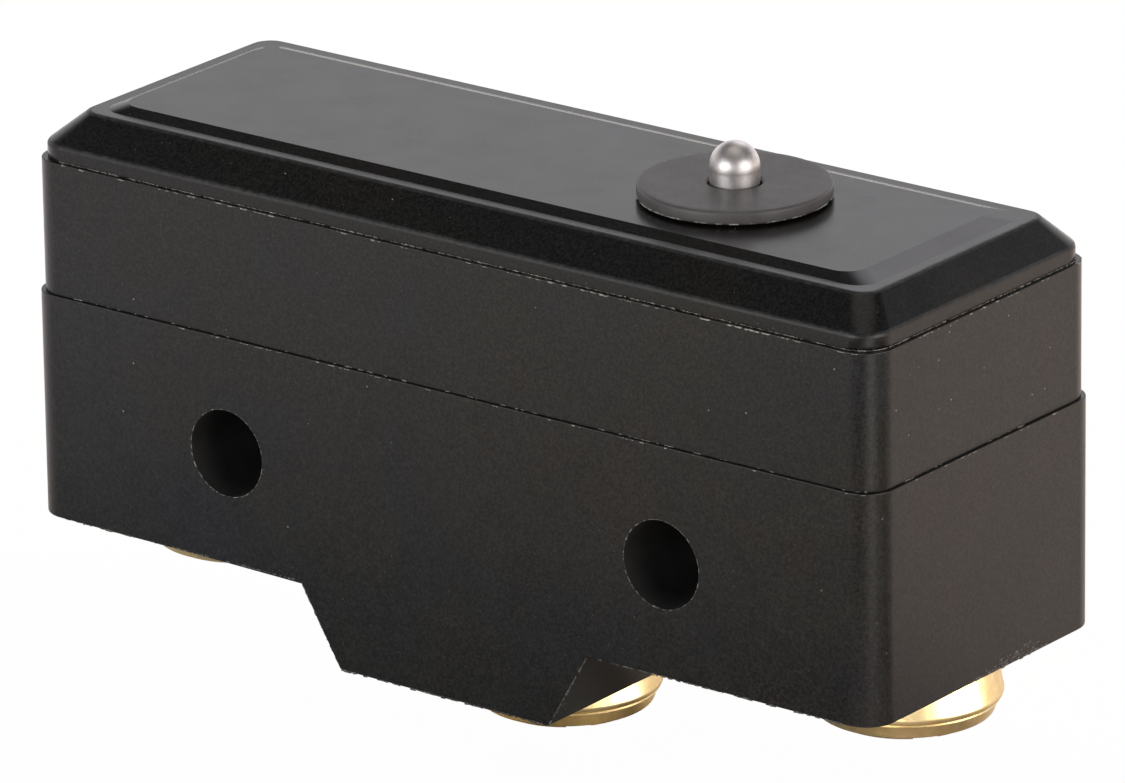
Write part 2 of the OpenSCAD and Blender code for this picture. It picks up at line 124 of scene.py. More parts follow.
def direction(azimuth, elevation):
    """Unit vector from the object towards a point at that azimuth and elevation, in degrees."""
    turn = math.radians(azimuth)
    lift = math.radians(elevation)
    return Vector((
        math.sin(turn) * math.cos(lift),
        -math.cos(turn) * math.cos(lift),
        math.sin(lift),
    ))


def make_camera():
    back = direction(CAMERA_AZIMUTH, CAMERA_ELEVATION)
    level_right = (-back).cross(Vector((0, 0, 1))).normalized()
    level_up = level_right.cross(-back)
    roll = math.radians(CAMERA_ROLL)
    right = level_right * math.cos(roll) + level_up * math.sin(roll)
    up = level_up * math.cos(roll) - level_right * math.sin(roll)
    data = bpy.data.cameras.new("camera")
    data.sensor_width = SENSOR
    data.lens = LENS
    data.clip_start = 0.05
    data.clip_end = 20
    camera = bpy.data.objects.new("camera", data)
    bpy.context.scene.collection.objects.link(camera)
    pose = Matrix((right, up, back)).transposed().to_4x4()
    pose.translation = CAMERA_TARGET + back * CAMERA_DISTANCE
    camera.matrix_world = pose
    bpy.context.scene.camera = camera


def make_floor():
    """Round floor under the lowest screw: white to the camera; in reflections it carries painted shade
    and a painted glow by azimuth.
    """
    radius = 4.0
    gap = 0.02 * MM
    white_share = 0.985
    level = CAD_BOX[0][2] - gap
    outline = bmesh.new()
    bmesh.ops.create_circle(outline, cap_ends=True, radius=radius, segments=96)
    bmesh.ops.translate(outline, verts=outline.verts, vec=(0, 0, level))
    mesh = bpy.data.meshes.new("floor")
    outline.to_mesh(mesh)
    outline.free()
    floor = bpy.data.objects.new("floor", mesh)
    bpy.context.scene.collection.objects.link(floor)
    recipe = Recipe("floor_white_painted_reflections")
    nodes = recipe.tree.nodes
    turned = nodes.new("ShaderNodeMapping")
    recipe.link(recipe.where, turned.inputs["Vector"])
    turned.inputs["Rotation"].default_value = (0, 0, math.radians(90 - CAMERA_AZIMUTH))
    around = nodes.new("ShaderNodeTexGradient")
    around.gradient_type = "RADIAL"
    recipe.link(turned.outputs["Vector"], around.inputs["Vector"])
    # Painted shade and painted light: the floor's colour and glow follow the azimuth round the object,
    # so the housing reflects dark wedges and a bright wedge
    painted_shade, glow = (
        recipe.ramp(around.outputs["Fac"], [(azimuth / 360 + 0.5, colour) for azimuth, colour in stops])
        for stops in (FLOOR_PAINTED_SHADES, FLOOR_GLOWS)
    )
    paper = recipe.ramp(recipe.noise(90, detail=2), [(0.3, (0.86, 0.86, 0.86)), (0.7, (0.9, 0.9, 0.9))])
    recipe.link(recipe.blend("MULTIPLY", paper, painted_shade), recipe.shader.inputs["Base Color"])
    recipe.link(glow, recipe.shader.inputs["Emission Color"])
    # The painted glow is nil near the object and full further away
    away = nodes.new("ShaderNodeVectorMath")
    away.operation = "LENGTH"
    recipe.link(recipe.where, away.inputs[0])
    strength = recipe.span(away.outputs["Value"], GLOW_START * MM, GLOW_FULL * MM, 0, 1)
    recipe.link(strength, recipe.shader.inputs["Emission Strength"])
    recipe.set(roughness=0.9, specular=0.1)
    white = nodes.new("ShaderNodeEmission")
    white.inputs["Strength"].default_value = 1.0
    seen = nodes.new("ShaderNodeLightPath").outputs["Is Camera Ray"]
    blend = nodes.new("ShaderNodeMixShader")
    recipe.link(recipe.math("MULTIPLY", seen, white_share), blend.inputs["Fac"])
    recipe.link(recipe.shader.outputs["BSDF"], blend.inputs[1])
    recipe.link(white.outputs["Emission"], blend.inputs[2])
    recipe.link(blend.outputs["Shader"], nodes["Material Output"].inputs["Surface"])
    mesh.materials.append(recipe.material)
    return floor


def make_world():
    """Bright low band and a high card behind the object, a duller band behind the camera, a dim belt
    and a soft top."""
    world = bpy.data.worlds.new("studio")
    bpy.context.scene.world = world
    world.use_nodes = True
    tree = world.node_tree
    coords = tree.nodes.new("ShaderNodeTexCoord")
    split = tree.nodes.new("ShaderNodeSeparateXYZ")
    tree.links.new(coords.outputs["Generated"], split.inputs["Vector"])
    belt = [
        (0.52, (0.13, 0.13, 0.14)),
        (0.84, (0.1, 0.1, 0.1)),
        (0.95, (0.6, 0.56, 0.53)),
    ]
    far = tree.nodes.new("ShaderNodeValToRGB")
    fill_ramp(far, [(0.0, (1.0, 1.0, 1.0)), (0.42, (0.94, 0.925, 0.955))] + belt)
    near = tree.nodes.new("ShaderNodeValToRGB")
    fill_ramp(near, [(0.0, (0.5, 0.5, 0.51)), (0.35, (0.45, 0.45, 0.46))] + belt)
    for ramp in (far, near):
        tree.links.new(split.outputs["Z"], ramp.inputs["Fac"])

    def towards(centre, start, full):
        """Share that rises from 0 to 1 as the cosine of the angle to centre goes from start to full."""
        cosine = tree.nodes.new("ShaderNodeVectorMath")
        cosine.operation = "DOT_PRODUCT"
        tree.links.new(coords.outputs["Generated"], cosine.inputs[0])
        cosine.inputs[1].default_value = centre
        share = tree.nodes.new("ShaderNodeMapRange")
        tree.links.new(cosine.outputs["Value"], share.inputs["Value"])
        share.inputs["From Min"].default_value = start
        share.inputs["From Max"].default_value = full
        return share.outputs["Result"]

    away = towards(-direction(CAMERA_AZIMUTH, 0), 0.2, 0.65)
    sky = mix_colours(tree, away, near.outputs["Color"], far.outputs["Color"])
    inside_card = towards(direction(CAMERA_AZIMUTH + 165, 36), 0.961, 0.985)
    colour = mix_colours(tree, inside_card, sky, (1.55, 1.5, 1.6))
    tree.links.new(colour, tree.nodes["Background"].inputs["Color"])


def mix_colours(tree, share, first, second):
    """Colour that goes from first to second as share goes from 0 to 1."""
    node = tree.nodes.new("ShaderNodeMix")
    node.data_type = "RGBA"
    tree.links.new(share, node.inputs["Factor"])
    for socket, value in ((node.inputs[6], first), (node.inputs[7], second)):
        if isinstance(value, tuple):
            socket.default_value = (*value, 1)
        else:
            tree.links.new(value, socket)
    return node.outputs[2]


def fill_ramp(ramp, stops):
    elements = ramp.color_ramp.elements
    while len(elements) > 1:
        elements.remove(elements[-1])
    elements[0].position = stops[0][0]
    elements[0].color = (*stops[0][1], 1)
    for position, colour in stops[1:]:
        element = elements.new(position)
        element.color = (*colour, 1)


def softbox(name, azimuth, elevation, distance, width, height, radiance, colour):
    """Flat lamp that faces the object from a distance, as bright as a white card of that radiance."""
    data = bpy.data.lights.new(name, "AREA")
    data.shape = "RECTANGLE"
    data.size = width
    data.size_y = height
    data.energy = radiance * math.pi * width * height
    data.color = colour
    lamp = bpy.data.objects.new(name, data)
    bpy.context.scene.collection.objects.link(lamp)
    towards = direction(azimuth, elevation)
    lamp.location = towards * distance
    lamp.rotation_mode = "QUATERNION"
    lamp.rotation_quaternion = towards.to_track_quat("Z", "Y")
    lamp.visible_camera = False
    return lamp


def light_only(lamp, things):
    lit = bpy.data.collections.new("lit_by_" + lamp.name)
    for thing in things:
        lit.objects.link(thing)
    lamp.light_linking.receiver_collection = lit


def make_lights(floor, brass):
    """Two large softboxes in front, a warm lamp on the right for the floor only, and two low ones
    for the brass only: a bright one on the right and a wide one on the left."""
    make_world()
    softbox("softbox_left", CAMERA_AZIMUTH - 48, 8, 0.9, 0.62, 0.38, 4.6, (0.96, 0.98, 1.0))
    softbox("softbox_right", CAMERA_AZIMUTH + 48, 8, 0.9, 0.62, 0.38, 4.6, (1.0, 0.97, 0.94))
    lamp = softbox("floor_lamp", CAMERA_AZIMUTH + 105, 38, 1.0, 0.5, 0.5, 12.5, (1.0, 0.8, 0.66))
    light_only(lamp, [floor])
    lamp = softbox("brass_lamp", CAMERA_AZIMUTH + 72, 2, 0.4, 0.22, 0.12, 14, (1.0, 0.97, 0.9))
    light_only(lamp, brass)
    lamp = softbox("brass_fill", CAMERA_AZIMUTH - 35, 4, 0.4, 0.4, 0.1, 13, (1.0, 0.96, 0.88))
    light_only(lamp, brass)


# ---- Materials ----

class Recipe:
    """Node tree of one material, worked out in the piece's own coordinates."""

    def __init__(self, name):
        self.material = bpy.data.materials.new(name)
        self.material.use_nodes = True
        self.tree = self.material.node_tree
        self.shader = self.tree.nodes["Principled BSDF"]
        self.where = self.tree.nodes.new("ShaderNodeTexCoord").outputs["Object"]
        self.normal = None

    def link(self, source, target):
        self.tree.links.new(source, target)

    def stretched(self, stretch):
        """Coordinates scaled along X, Y and Z."""
        mapping = self.tree.nodes.new("ShaderNodeMapping")
        self.link(self.where, mapping.inputs["Vector"])
        mapping.inputs["Scale"].default_value = stretch
        return mapping.outputs["Vector"]

    def noise(self, size, detail=3, rough=0.5, stretch=(1, 1, 1)):
        """Cloudy pattern whose lumps are about size millimetres across."""
        node = self.tree.nodes.new("ShaderNodeTexNoise")
        self.link(self.stretched(stretch), node.inputs["Vector"])
        node.inputs["Scale"].default_value = 1 / (size * MM)
        node.inputs["Detail"].default_value = detail
        node.inputs["Roughness"].default_value = rough
        return node.outputs["Fac"]

    def specks(self, spacing, radius, share):
        """Small dots, one for a share of the cells that are spacing millimetres wide: 1 inside a dot."""
        cells = self.tree.nodes.new("ShaderNodeTexVoronoi")
        self.link(self.where, cells.inputs["Vector"])
        cells.inputs["Scale"].default_value = 1 / (spacing * MM)
        near = self.span(cells.outputs["Distance"], radius / spacing, radius / spacing * 0.5, 0, 1)
        split = self.tree.nodes.new("ShaderNodeSeparateColor")
        self.link(cells.outputs["Color"], split.inputs["Color"])
        chosen = self.span(split.outputs[0], 1 - share, 1 - share * 0.6, 0, 1)
        return self.math("MULTIPLY", near, chosen)

    def span(self, source, low, high, out_low, out_high):
        """Maps low..high to out_low..out_high, held at the ends."""
        node = self.tree.nodes.new("ShaderNodeMapRange")
        self.link(source, node.inputs["Value"])
        node.inputs["From Min"].default_value = low
        node.inputs["From Max"].default_value = high
        node.inputs["To Min"].default_value = out_low
        node.inputs["To Max"].default_value = out_high
        return node.outputs["Result"]

    def math(self, operation, first, second):
        node = self.tree.nodes.new("ShaderNodeMath")
        node.operation = operation
        for socket, value in zip(node.inputs, (first, second)):
            if isinstance(value, (int, float)):
                socket.default_value = value
            else:
                self.link(value, socket)
        return node.outputs["Value"]

    def ramp(self, source, stops):
        node = self.tree.nodes.new("ShaderNodeValToRGB")
        self.link(source, node.inputs["Fac"])
        fill_ramp(node, stops)
        return node.outputs["Color"]

    def mix(self, share, first, second):
        return mix_colours(self.tree, share, first, second)

    def blend(self, mode, first, second):
        """Colour made of two colours by a blend mode, such as MULTIPLY."""
        node = self.tree.nodes.new("ShaderNodeMix")
        node.data_type = "RGBA"
        node.blend_type = mode
        node.inputs["Factor"].default_value = 1
        self.link(first, node.inputs[6])
        self.link(second, node.inputs[7])
        return node.outputs[2]

    def bump(self, height, depth):
        """Raises the surface by depth millimetres where height is 1."""
        node = self.tree.nodes.new("ShaderNodeBump")
        self.link(height, node.inputs["Height"])
        node.inputs["Strength"].default_value = 1
        node.inputs["Distance"].default_value = depth * MM
        if self.normal is not None:
            self.link(self.normal, node.inputs["Normal"])
        self.normal = node.outputs["Normal"]

    def set(self, metallic=0.0, roughness=0.5, specular=0.5, ior=1.5):
        self.shader.inputs["Metallic"].default_value = metallic
        self.shader.inputs["Roughness"].default_value = roughness
        self.shader.inputs["Specular IOR Level"].default_value = specular
        self.shader.inputs["IOR"].default_value = ior

    def finish(self, colour=None, roughness=None):
        if colour is not None:
            self.link(colour, self.shader.inputs["Base Color"])
        if roughness is not None:
            self.link(roughness, self.shader.inputs["Roughness"])
        if self.normal is not None:
            self.link(self.normal, self.shader.inputs["Normal"])
        return self.material


def phenolic(name, gloss, depth_of_black):
    """Black moulded phenolic: blue, olive and brown clouding, fine filler, dust and scratches."""
    recipe = Recipe(name)
    recipe.set()
    tints = [
        (0.32, (0.0085, 0.009, 0.0125)),
        (0.45, (0.0095, 0.0095, 0.0095)),
        (0.55, (0.0105, 0.0105, 0.0085)),
        (0.68, (0.013, 0.0098, 0.009)),
    ]
    clouds = recipe.ramp(recipe.noise(8, detail=4, rough=0.6), tints)
    filler = recipe.noise(0.14, detail=3, rough=0.7)
    low = (0.12 * depth_of_black,) * 3
    high = (2.6 * depth_of_black, 2.5 * depth_of_black, 2.4 * depth_of_black)
    grains = recipe.mix(recipe.span(filler, 0.38, 0.66, 0, 1), low, high)
    colour = recipe.blend("MULTIPLY", clouds, grains)
    flecks = recipe.specks(0.42, 0.04, 0.26)
    colour = recipe.mix(flecks, colour, (0.09, 0.085, 0.08))
    dots = recipe.specks(0.7, 0.05, 0.1)
    colour = recipe.mix(dots, colour, (0.34, 0.32, 0.3))
    polish = recipe.span(recipe.noise(2.4, detail=6, rough=0.65), 0.3, 0.7, gloss - 0.04, gloss + 0.05)
    recipe.bump(recipe.noise(9, detail=2), 0.012)
    recipe.bump(recipe.noise(1.6, detail=3), 0.0014)
    recipe.bump(filler, 0.0016)
    recipe.bump(dots, 0.01)
    return recipe.finish(colour, polish)


def edge_wear_and_highlight(name):
    """Moulded edge where the skin is rubbed through to a paler, duller filler; the paler colour on the
    rounded edges is also a painted highlight along them.
    """
    recipe = Recipe(name)
    recipe.set()
    rubbed = recipe.noise(0.35, detail=5, rough=0.7)
    # Paler patches on the rounded edges: wear, and painted highlight along the edges
    colour = recipe.ramp(rubbed, [(0.45, (0.011, 0.0105, 0.01)), (0.66, (0.032, 0.03, 0.028))])
    polish = recipe.span(rubbed, 0.35, 0.65, 0.32, 0.5)
    recipe.bump(recipe.noise(0.3, detail=4), 0.004)
    return recipe.finish(colour, polish)


def flash_resin(name, dark, light):
    """Pale broken resin, where the moulding flash was trimmed."""
    recipe = Recipe(name)
    recipe.set(roughness=0.6)
    broken = recipe.noise(0.25, detail=4, rough=0.7)
    colour = recipe.ramp(broken, [(0.4, dark), (0.6, light)])
    recipe.bump(recipe.noise(0.1, detail=3), 0.006)
    return recipe.finish(colour)


def metal(name, light, dark, gloss, size, stretch=(1, 1, 1), depth=0.0008):
    """Metal with clouded colour and fine marks that run across the stretched directions."""
    recipe = Recipe(name)
    recipe.set(metallic=1.0)
    marks = recipe.noise(size, detail=5, rough=0.65, stretch=stretch)
    colour = recipe.ramp(recipe.noise(size * 6, detail=4, rough=0.6), [(0.3, dark), (0.7, light)])
    polish = recipe.span(marks, 0.3, 0.7, gloss - 0.05, gloss + 0.08)
    recipe.bump(marks, depth)
    return recipe.finish(colour, polish)


def polymer(name, light, dark, gloss, size, depth):
    """Unfilled plastic or rubber with a fine even grain."""
    recipe = Recipe(name)
    recipe.set()
    grain = recipe.noise(size, detail=4, rough=0.6)
    colour = recipe.ramp(recipe.noise(size * 8, detail=3), [(0.3, dark), (0.7, light)])
    polish = recipe.span(grain, 0.3, 0.7, gloss - 0.05, gloss + 0.08)
    recipe.bump(grain, depth)
    return recipe.finish(colour, polish)


def make_materials():
    return {
        "phenolic": phenolic("phenolic_black", 0.3, 0.85),
        "phenolic_cover": phenolic("phenolic_cover_black", 0.24, 0.6),
        # Rounded housing edges: wear and painted highlight
        "edge": edge_wear_and_highlight("phenolic_edge_wear_and_highlight"),
        "bore": polymer(
            "phenolic_drilled", (0.032, 0.031, 0.03), (0.017, 0.0165, 0.016), 0.6, 0.2, 0.004
        ),
        "flash": flash_resin("phenolic_flash", (0.07, 0.063, 0.056), (0.5, 0.46, 0.41)),
        "dull_flash": flash_resin("phenolic_dull_flash", (0.03, 0.028, 0.026), (0.2, 0.185, 0.17)),
        "guide_plastic": polymer(
            "guide_black", (0.115, 0.106, 0.103), (0.085, 0.079, 0.077), 0.45, 0.14, 0.002
        ),
        "gasket_rubber": polymer(
            "gasket_black", (0.02, 0.02, 0.02), (0.01, 0.01, 0.01), 0.7, 0.15, 0.004
        ),
        "stainless": metal(
            "pin_steel", (0.84, 0.8, 0.78), (0.68, 0.64, 0.62), 0.36, 0.1, (1, 1, 14), 0.005
        ),
        "follower_plastic": polymer(
            "follower_brown", (0.16, 0.06, 0.025), (0.1, 0.04, 0.018), 0.4, 0.3, 0.001
        ),
        "strap_brass": metal(
            "strap_brass_rolled", (0.78, 0.56, 0.25), (0.62, 0.42, 0.17), 0.3, 0.2, (0.3, 3, 3)
        ),
        "screw_brass": metal(
            "screw_brass_bright", (0.97, 0.79, 0.44), (0.84, 0.62, 0.29), 0.33, 0.1, (1, 1, 6), 0.0025
        ),
        "plated_steel": metal("screw_steel_plated", (0.6, 0.6, 0.58), (0.45, 0.45, 0.44), 0.32, 0.2),
        "spring_copper": metal(
            "blade_copper", (0.86, 0.5, 0.32), (0.7, 0.36, 0.2), 0.26, 0.2, (0.3, 3, 3)
        ),
        "contact_silver": metal("contact_silver", (0.88, 0.87, 0.84), (0.74, 0.73, 0.7), 0.22, 0.12),
    }


# ---- Shapes ----

def add_piece(name, mesh, materials, body, nodes):
    """Puts a finished mesh in the scene on its body, in place of its CAD nodes."""
    for material in materials:
        mesh.materials.append(material)
    piece = bpy.data.objects.new(name, mesh)
    bpy.context.scene.collection.objects.link(piece)
    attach(piece, body)
    if nodes:
        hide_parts(*nodes)
    return piece


def lies_at(edge, levels, slack):
    """True if an edge lies flat at one of the levels, to within slack millimetres."""
    return any(all(abs(vert.co.z - level) < slack * MM for vert in edge.verts) for level in levels)


def smooth(piece, sharp_angle=40, crisp_levels=()):
    """Smooth shading that keeps flat faces flat and real edges crisp. Creases that lie flat at one
    of the crisp levels stay sharp down to a smaller angle."""
    crisp_angle = 14
    piece.data.shade_smooth()
    shape = bmesh.new()
    shape.from_mesh(piece.data)
    for edge in shape.edges:
        limit = crisp_angle if lies_at(edge, crisp_levels, 0.02) else sharp_angle
        edge.smooth = edge.calc_face_angle(0) < math.radians(limit)
    shape.to_mesh(piece.data)
    shape.free()
    weights = piece.modifiers.new("even_shading", "WEIGHTED_NORMAL")
    weights.keep_sharp = True
    weights.weight = 100


def joined_copy(node):
    """Mesh of a CAD node with its seams joined and its flat faces whole."""
    shape = bmesh.new()
    shape.from_mesh(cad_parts[node].data)
    bmesh.ops.remove_doubles(shape, verts=shape.verts, dist=0.002 * MM)
    bmesh.ops.recalc_face_normals(shape, faces=shape.faces)
    bmesh.ops.dissolve_limit(
        shape, angle_limit=math.radians(0.6), verts=shape.verts, edges=shape.edges,
        use_dissolve_boundaries=False,
    )
    return shape


def outside_test(node):
    """Tells the edges of a node's outside wall from those within."""
    low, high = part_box(node)

    def outside(edge):
        return all(
            min(vert.co.x - low.x, high.x - vert.co.x, vert.co.y - low.y, high.y - vert.co.y) < WALL * MM
            for vert in edge.verts
        )

    return outside


def round_edges(shape, radius, levels, sharp, segments, edge_index, allowed=lambda edge: True):
    """Rounds the sharp edges; where levels are given, only those that lie flat at one of them."""
    def chosen(edge):
        if len(edge.link_faces) != 2 or edge.calc_face_angle(0) < math.radians(sharp):
            return False
        return allowed(edge) and (not levels or lies_at(edge, levels, 0.01))

    bmesh.ops.bevel(
        shape, geom=[edge for edge in shape.edges if chosen(edge)], offset=radius * MM,
        offset_type="OFFSET", segments=segments, profile=0.5, affect="EDGES",
        clamp_overlap=True, material=edge_index,
    )


def rounded_copy(node, radius, segments=2, sharp=28, edge_index=0, seams=(), levels=()):
    """Mesh of a CAD node with its edges rounded. With seams, the outside edges at those heights are
    only just broken, and the radius goes to the edges that lie flat at the levels."""
    seam_radius = 0.05
    seam_sharp = 60
    shape = joined_copy(node)
    if seams:
        round_edges(shape, seam_radius, seams, seam_sharp, 2, edge_index, outside_test(node))
    if levels or not seams:
        round_edges(shape, radius, levels, sharp, segments, edge_index)
    mesh = bpy.data.meshes.new(node)
    shape.to_mesh(mesh)
    shape.free()
    return mesh


def lathe(name, centre, profile, segments=96):
    """Closed solid of revolution about Z, from (radius, height) points in millimetres.

    The profile is closed: it starts and ends on the axis, or runs round a ring section.
    """
    shape = bmesh.new()
    rings = []
    for radius, height in profile:
        if radius == 0:
            rings.append([shape.verts.new(centre + Vector((0, 0, height * MM)))])
            continue
        ring = []
        for step in range(segments):
            angle = 2 * math.pi * step / segments
            offset = Vector((math.cos(angle) * radius, math.sin(angle) * radius, height)) * MM
            ring.append(shape.verts.new(centre + offset))
        rings.append(ring)
    pairs = list(zip(rings, rings[1:]))
    if profile[0][0] > 0:
        pairs.append((rings[-1], rings[0]))
    for lower, upper in pairs:
        join_rings(shape, lower, upper)
    bmesh.ops.recalc_face_normals(shape, faces=shape.faces)
    mesh = bpy.data.meshes.new(name)
    shape.to_mesh(mesh)
    shape.free()
    return mesh


def join_rings(shape, lower, upper):
    """Faces between two rings; a ring of one point closes to a fan."""
    count = max(len(lower), len(upper))
    for step in range(count):
        after = (step + 1) % count
        if len(lower) == 1:
            shape.faces.new((lower[0], upper[after], upper[step]))
        elif len(upper) == 1:
            shape.faces.new((lower[step], lower[after], upper[0]))
        else:
            shape.faces.new((lower[step], lower[after], upper[after], upper[step]))


def arc(centre, radius, start, end, steps):
    """Points of an arc in (radius, height) space; angles in degrees from the outward direction."""
    points = []
    for step in range(steps + 1):
        angle = math.radians(start + (end - start) * step / steps)
        points.append((centre[0] + radius * math.cos(angle), centre[1] + radius * math.sin(angle)))
    return points


def axis_of(node):
    """Point on a round node's upright axis, at height 0."""
    low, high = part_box(node)
    return Vector(((low.x + high.x) / 2, (low.y + high.y) / 2, 0))


def heights(node):
    """Lowest and highest point of a node in millimetres."""
    low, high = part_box(node)
    return low.z / MM, high.z / MM


def width(node):
    """Width of a node along X in millimetres."""
    low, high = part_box(node)
    return (high.x - low.x) / MM


# ---- Pieces ----

def wall_top(node):
    """Height at which a node's upright end wall stops."""
    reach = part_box(node)[1].x - 0.01 * MM
    return max(vert.co.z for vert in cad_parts[node].data.vertices if vert.co.x > reach)


def line_bores(mesh, index):
    """Gives the walls of the two mounting holes the material slot of that index."""
    for face in mesh.polygons:
        across = min(abs(face.center.x - side * HOLE_PITCH / 2 * MM) for side in (-1, 1))
        if math.hypot(across, face.center.z) < HOLE_RADIUS * MM:
            face.material_index = index


def make_housing(materials):
    """The three mouldings: broken edges along the seams, and rounded ones at the levels listed."""
    base_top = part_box("base")[1].z
    case_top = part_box("middle_case")[1].z
    panel_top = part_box("cover")[1].z
    margin_top = panel_top - PANEL_HEIGHT * MM
    # The underside is the bottom of the keel, and the step where the case screws end
    underside = (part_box("base")[0].z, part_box("case_screws")[0].z)
    cover_levels = (wall_top("cover"), margin_top)
    cover_creases = (panel_top, margin_top)
    # Node, edge radius, material, heights of its seams, of its rounded edges and of its creases
    parts = (
        ("base", 0.16, "phenolic", (base_top,), underside, ()),
        ("middle_case", 0, "phenolic", (base_top, case_top), (), ()),
        ("cover", 0.14, "phenolic_cover", (case_top,), cover_levels, cover_creases),
    )
    for node, radius, skin, seams, levels, crisp in parts:
        mesh = rounded_copy(node, radius, segments=3, sharp=36, edge_index=1, seams=seams, levels=levels)
        skins = [materials[skin], materials["edge"], materials["bore"]]
        piece = add_piece(node + "_moulding", mesh, skins, "housing", [node])
        if node == "base":
            line_bores(mesh, skins.index(materials["bore"]))
        smooth(piece, 31, crisp)


def outline_place(node, height):
    """Path round a housing part's upright outline at a height, from its front left corner. The
    path is a function of the millimetres along it, which gives a point, the way out and the way up."""
    low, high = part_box(node)
    size = ((high.x - low.x) / MM, (high.y - low.y) / MM)
    quarter = math.pi / 2 * CORNER_RADIUS
    up = Vector((0, 0, 1))

    def place(distance):
        for side in range(4):
            length = size[side % 2] - 2 * CORNER_RADIUS
            turn = math.radians(90 * side - 90)
            outward = Vector((math.cos(turn), math.sin(turn), 0))
            heading = Vector((-math.sin(turn), math.cos(turn), 0))
            reach = size[1 - side % 2] / 2
            if distance < length or side == 3:
                return outward * reach + heading * (distance - length / 2) + up * height, outward, up
            distance -= length
            if distance < quarter:
                turn += distance / CORNER_RADIUS
                bent = Vector((math.cos(turn), math.sin(turn), 0))
                corner = outward * (reach - CORNER_RADIUS) + heading * (length / 2)
                return corner + bent * CORNER_RADIUS + up * height, bent, up
            distance -= quarter

    total = 2 * (size[0] + size[1]) - (8 - 2 * math.pi) * CORNER_RADIUS - quarter
    return place, total


def ring_place(centre, radius):
    """Path round a hole in the front or back face: the way up is away from the hole's axis."""
    outward = Vector((0, math.copysign(1, centre.y), 0))

    def place(distance):
        turn = distance / radius
        away = Vector((math.cos(turn), 0, math.sin(turn)))
        return centre + away * radius, outward, away

    return place, 2 * math.pi * radius


def rim_place(centre, radius, height):
    """Path round the upright rim of a disc at a height."""
    up = Vector((0, 0, 1))

    def place(distance):
        turn = distance / radius
        outward = Vector((math.cos(turn), math.sin(turn), 0))
        return centre + outward * radius + up * height, outward, up

    return place, 2 * math.pi * radius


def edge_place(start, end, outward):
    """Straight path along an edge, on the face that looks outward."""
    heading = (end - start).normalized()

    def place(distance):
        return start + heading * distance, outward, outward.cross(heading)

    return place, (end - start).length


def add_chip(shape, place, start, length, rise, reach, draw):
    """Low ragged pyramid that stands out of a wall by reach and is 2 rise wide."""
    root = 0.015
    corners = []
    for along, side in ((0, 1), (length, 1), (length, -1), (0, -1)):
        point, outward, up = place(start + along)
        lift = side * rise * draw.uniform(0.5, 1.2)
        corners.append(shape.verts.new((point - outward * root + up * lift) * MM))
    point, outward, up = place(start + length * draw.uniform(0.3, 0.7))
    lift = rise * draw.uniform(-0.4, 0.4)
    tip = shape.verts.new((point + outward * reach + up * lift) * MM)
    for first, second in zip(corners, corners[1:] + corners[:1]):
        shape.faces.new((second, first, tip))
    shape.faces.new(corners)


def add_flash(name, material, lines, draw):
    """Broken lines of chips as one piece. Each line is a path, the share of it that is left, and the
    chips' longest length, half width and height in millimetres."""
    shape = bmesh.new()
    for (place, total), share, longest, rise, reach in lines:
        distance = 0
        while distance < total - longest:
            length = draw.uniform(0.2, 1) * longest
            if draw.random() < share:
                add_chip(
                    shape, place, distance, length, rise * draw.uniform(0.5, 1.3),
                    reach * draw.uniform(0.5, 1.2), draw
                )
            distance += length * draw.uniform(0.8, 1.1)
    bmesh.ops.recalc_face_normals(shape, faces=shape.faces)
    mesh = bpy.data.meshes.new(name)
    shape.to_mesh(mesh)
    shape.free()
    add_piece(name, mesh, [material], "housing", [])


def keel_points(depth):
    """Corners of the base's stepped underside on the front or back face, from end to end."""
    low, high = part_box("base")
    end = high.x / MM - CORNER_RADIUS
    step = heights("case_screws")[0]
    keel = low.z / MM
    outline = (
        (-end, step), (-KEEL_TOP, step), (-KEEL_BOTTOM, keel),
        (KEEL_BOTTOM, keel), (KEEL_TOP, step), (end, step),
    )
    return [Vector((x, depth, z)) for x, z in outline]


def make_flash(materials):
    """Trimmed moulding flash: pale broken chips along the seams, round the holes and underneath."""
    draw = random.Random(SEED)
    base_top = heights("base")[1]
    case_top = heights("middle_case")[1]
    step = heights("case_screws")[0]
    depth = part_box("base")[1].y / MM
    add_flash("cover_flash", materials["flash"], [
        (outline_place("cover", case_top + 0.04), 0.95, 0.4, 0.03, 0.05),
    ], draw)
    add_flash("middle_case_flash", materials["flash"], [
        (outline_place("middle_case", case_top - 0.05), 0.35, 0.7, 0.04, 0.035),
        (outline_place("middle_case", base_top + 0.04), 0.2, 0.4, 0.03, 0.04),
    ], draw)
    ring_radius = HOLE_RADIUS + 0.03
    lift = Vector((0, 0, 0.03))
    rings = []
    underside = []
    for side in (-1, 1):
        outward = Vector((0, side, 0))
        for x in (-HOLE_PITCH / 2, HOLE_PITCH / 2):
            centre = Vector((x, side * depth, 0))
            rings.append((ring_place(centre, ring_radius), 0.97, 0.6, 0.022, 0.025))
        corners = keel_points(side * depth)
        for start, end in zip(corners, corners[1:]):
            underside.append((edge_place(start + lift, end + lift, outward), 0.7, 0.4, 0.055, 0.045))
    add_flash("hole_flash", materials["flash"], rings, draw)
    add_flash("base_flash", materials["flash"], [
        (outline_place("base", base_top - 0.05), 0.22, 0.5, 0.03, 0.035),
    ], draw)
    add_flash("underside_flash", materials["dull_flash"], underside, draw)
    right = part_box("base")[1].x / MM
    row_pitch = 0.16
    patch = []
    for row in range(5):
        height = step + 0.12 + row_pitch * row
        start = Vector((right, 5.2 - 0.5 * row, height))
        end = Vector((right, -1.5 + 1.2 * row, height))
        patch.append((edge_place(end, start, Vector((1, 0, 0))), 0.85 - 0.12 * row, 0.4, 0.1, 0.04))
    add_flash("terminal_flash", materials["dull_flash"], patch, draw)


